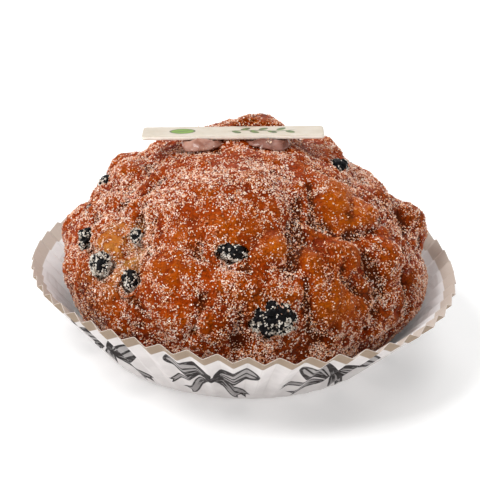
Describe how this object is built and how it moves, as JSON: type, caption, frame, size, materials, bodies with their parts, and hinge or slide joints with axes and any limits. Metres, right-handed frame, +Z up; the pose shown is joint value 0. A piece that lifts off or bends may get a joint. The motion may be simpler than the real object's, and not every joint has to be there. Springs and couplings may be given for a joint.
{
  "type": "apple dumpling",
  "caption": "Lumpy fried apple dumpling with raisins and a sugar crust, in a fluted paper case, with a small white chocolate plaque stuck on top by icing.",
  "frame": {"origin": "on the surface that the case stands on, under the middle of its bounding box", "axes": "+Z up, +X to the right as the picture shows it, -Y towards the viewer, who sees the front"},
  "size_m": [0.1226, 0.1336, 0.065],
  "materials": {
    "dough": "fried crust, orange-brown and slightly glossy, crusted with sugar crystals",
    "raisin": "wrinkled blue-black skin with a dull sheen",
    "icing": "translucent lilac-white sugar icing",
    "plaque": "cream-white chocolate with a printed green leaf and sprig",
    "paper": "thin greaseproof paper, white with a beige border and dark ink bows"
  },
  "bodies": {
    "root": {"paper_case": "paper", "dumpling": "dough", "raisin_01": "raisin", "raisin_02": "raisin", "raisin_03": "raisin", "raisin_04": "raisin", "raisin_05": "raisin", "raisin_06": "raisin", "raisin_07": "raisin", "raisin_08": "raisin", "raisin_09": "raisin", "raisin_10": "raisin", "raisin_11": "raisin", "raisin_12": "raisin", "raisin_13": "raisin", "raisin_14": "raisin", "icing_left": "icing", "icing_right": "icing", "plaque": "plaque"}
  },
  "joints": []
}
